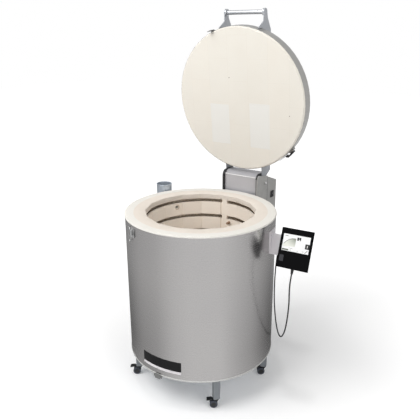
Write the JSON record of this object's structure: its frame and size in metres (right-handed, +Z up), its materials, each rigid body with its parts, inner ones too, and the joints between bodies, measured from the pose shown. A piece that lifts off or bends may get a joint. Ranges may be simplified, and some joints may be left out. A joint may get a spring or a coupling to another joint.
{
  "type": "top-loading kiln",
  "caption": "Round top-loading kiln on casters with a hinged brick lid, grooved brick chamber, vent pipe, side-hung controller on a cable and a rear switch box.",
  "frame": {"origin": "middle of the footprint's bounding box, on the floor under the casters", "axes": "+Z up, -Y toward whoever stands in front, +X to their right, controller on +X"},
  "size_m": [1.0143, 0.9685, 1.8664],
  "materials": {
    "steel": "satin",
    "light_steel": "satin",
    "grey_steel": "satin",
    "blue_grey": "satin",
    "zinc": "polished",
    "fibre": "matte",
    "brick": "matte",
    "wool": "matte",
    "element": "matte",
    "ceramic": "matte",
    "black": "matte",
    "rubber": "matte",
    "panel": "gloss",
    "screen": "gloss",
    "light_grey": "matte"
  },
  "bodies": {
    "kiln": {"casing": "steel", "base_pan": "grey_steel", "rim_collar": "fibre", "wall_bricks": "brick", "floor_slab": "brick", "floor_insulation": "wool", "wall_insulation": "wool", "heating_element_1": "element", "heating_element_2": "element", "heating_element_3": "element", "heating_element_4": "element", "heating_element_5": "element", "heating_element_6": "element", "heating_element_7": "element", "thermocouple": "ceramic", "vent_sleeve": "ceramic", "vent_outlet": "grey_steel", "front_left_leg": "blue_grey", "front_right_leg": "blue_grey", "rear_left_leg": "blue_grey", "rear_right_leg": "blue_grey", "latch_base": "zinc", "hinge_frame": "steel", "hinge_shaft": "zinc", "lid_spring": "zinc", "spring_cover": "light_steel", "left_spring_cap": "black", "right_spring_cap": "black", "switch_box": "steel", "switch_box_cover": "steel", "switch_frame": "black", "box_gland": "black", "controller_bracket": "light_steel", "controller_shell": "panel", "controller_screen": "screen", "controller_relief": "black", "controller_cable": "rubber"},
    "lid": {"lid_slab": "brick", "lid_band": "steel", "left_lid_arm": "blue_grey", "right_lid_arm": "blue_grey", "handle_bar": "zinc", "lid_keeper": "steel"},
    "air_slide": {"air_slide": "steel"},
    "latch_lever": {"latch_lever": "zinc"},
    "latch_hook": {"latch_hook": "zinc"},
    "switch_rocker": {"switch_rocker": "light_grey"},
    "port_flap": {"port_flap": "black"},
    "front_left_caster_body": {"front_left_caster_body": "black"},
    "front_left_caster_wheels": {"front_left_caster_wheels": "rubber"},
    "front_left_brake_pedal": {"front_left_brake_pedal": "black"},
    "front_right_caster_body": {"front_right_caster_body": "black"},
    "front_right_caster_wheels": {"front_right_caster_wheels": "rubber"},
    "front_right_brake_pedal": {"front_right_brake_pedal": "black"},
    "rear_left_caster_body": {"rear_left_caster_body": "black"},
    "rear_left_caster_wheels": {"rear_left_caster_wheels": "rubber"},
    "rear_left_brake_pedal": {"rear_left_brake_pedal": "black"},
    "rear_right_caster_body": {"rear_right_caster_body": "black"},
    "rear_right_caster_wheels": {"rear_right_caster_wheels": "rubber"},
    "rear_right_brake_pedal": {"rear_right_brake_pedal": "black"}
  },
  "joints": [
    {"name": "lid_hinge", "type": "hinge", "parent": "kiln", "child": "lid", "pos_m": [-0.08118, 0.349, 0.965], "axis": [1, 0, 0], "range_deg": [0, 83.5], "stiffness_Nm_per_rad": 80, "springref_deg": -20.05},
    {"name": "air_slide_pull", "type": "slide", "parent": "kiln", "child": "air_slide", "axis": [0, -1, 0], "range_m": [0, 0.045]},
    {"name": "latch_lever_pivot", "type": "hinge", "parent": "kiln", "child": "latch_lever", "pos_m": [-0.22891, -0.45915, 0.855], "axis": [0.9225, -0.3859, 0], "range_deg": [0, 110]},
    {"name": "latch_hook_pivot", "type": "hinge", "parent": "latch_lever", "child": "latch_hook", "pos_m": [-0.22912, -0.45965, 0.865], "axis": [0.9225, -0.3859, 0], "range_deg": [0, 40]},
    {"name": "switch_rock", "type": "hinge", "parent": "kiln", "child": "switch_rocker", "pos_m": [0.04312, 0.433, 0.881], "axis": [0, -1, 0], "range_deg": [0, 14]},
    {"name": "port_flap_hinge", "type": "hinge", "parent": "kiln", "child": "port_flap", "pos_m": [0.36151, -0.09606, 0.812], "axis": [0.0278, -0.3703, -0.9285], "range_deg": [0, 100]},
    {"name": "front_left_swivel", "type": "hinge", "parent": "kiln", "child": "front_left_caster_body", "pos_m": [-0.32781, -0.34004, 0.049], "axis": [0, 0, 1], "continuous": true},
    {"name": "front_left_roll", "type": "hinge", "parent": "front_left_caster_body", "child": "front_left_caster_wheels", "pos_m": [-0.33852, -0.3474, 0.02], "axis": [0.5664, -0.8241, 0], "continuous": true},
    {"name": "front_left_brake", "type": "hinge", "parent": "front_left_caster_body", "child": "front_left_brake_pedal", "pos_m": [-0.34347, -0.3508, 0.0448], "axis": [0.5664, -0.8241, 0], "range_deg": [0, 8]},
    {"name": "front_right_swivel", "type": "hinge", "parent": "kiln", "child": "front_right_caster_body", "pos_m": [0.16544, -0.34004, 0.049], "axis": [0, 0, 1], "continuous": true},
    {"name": "front_right_roll", "type": "hinge", "parent": "front_right_caster_body", "child": "front_right_caster_wheels", "pos_m": [0.15473, -0.3474, 0.02], "axis": [0.5664, -0.8241, 0], "continuous": true},
    {"name": "front_right_brake", "type": "hinge", "parent": "front_right_caster_body", "child": "front_right_brake_pedal", "pos_m": [0.14979, -0.3508, 0.0448], "axis": [0.5664, -0.8241, 0], "range_deg": [0, 8]},
    {"name": "rear_left_swivel", "type": "hinge", "parent": "kiln", "child": "rear_left_caster_body", "pos_m": [-0.3953, 0.02411, 0.049], "axis": [0, 0, 1], "continuous": true},
    {"name": "rear_left_roll", "type": "hinge", "parent": "rear_left_caster_body", "child": "rear_left_caster_wheels", "pos_m": [-0.40602, 0.01675, 0.02], "axis": [0.5664, -0.8241, 0], "continuous": true},
    {"name": "rear_left_brake", "type": "hinge", "parent": "rear_left_caster_body", "child": "rear_left_brake_pedal", "pos_m": [-0.41096, 0.01335, 0.0448], "axis": [0.5664, -0.8241, 0], "range_deg": [0, 8]},
    {"name": "rear_right_swivel", "type": "hinge", "parent": "kiln", "child": "rear_right_caster_body", "pos_m": [0.23294, 0.02411, 0.049], "axis": [0, 0, 1], "continuous": true},
    {"name": "rear_right_roll", "type": "hinge", "parent": "rear_right_caster_body", "child": "rear_right_caster_wheels", "pos_m": [0.22222, 0.01675, 0.02], "axis": [0.5664, -0.8241, 0], "continuous": true},
    {"name": "rear_right_brake", "type": "hinge", "parent": "rear_right_caster_body", "child": "rear_right_brake_pedal", "pos_m": [0.21728, 0.01335, 0.0448], "axis": [0.5664, -0.8241, 0], "range_deg": [0, 8]}
  ]
}
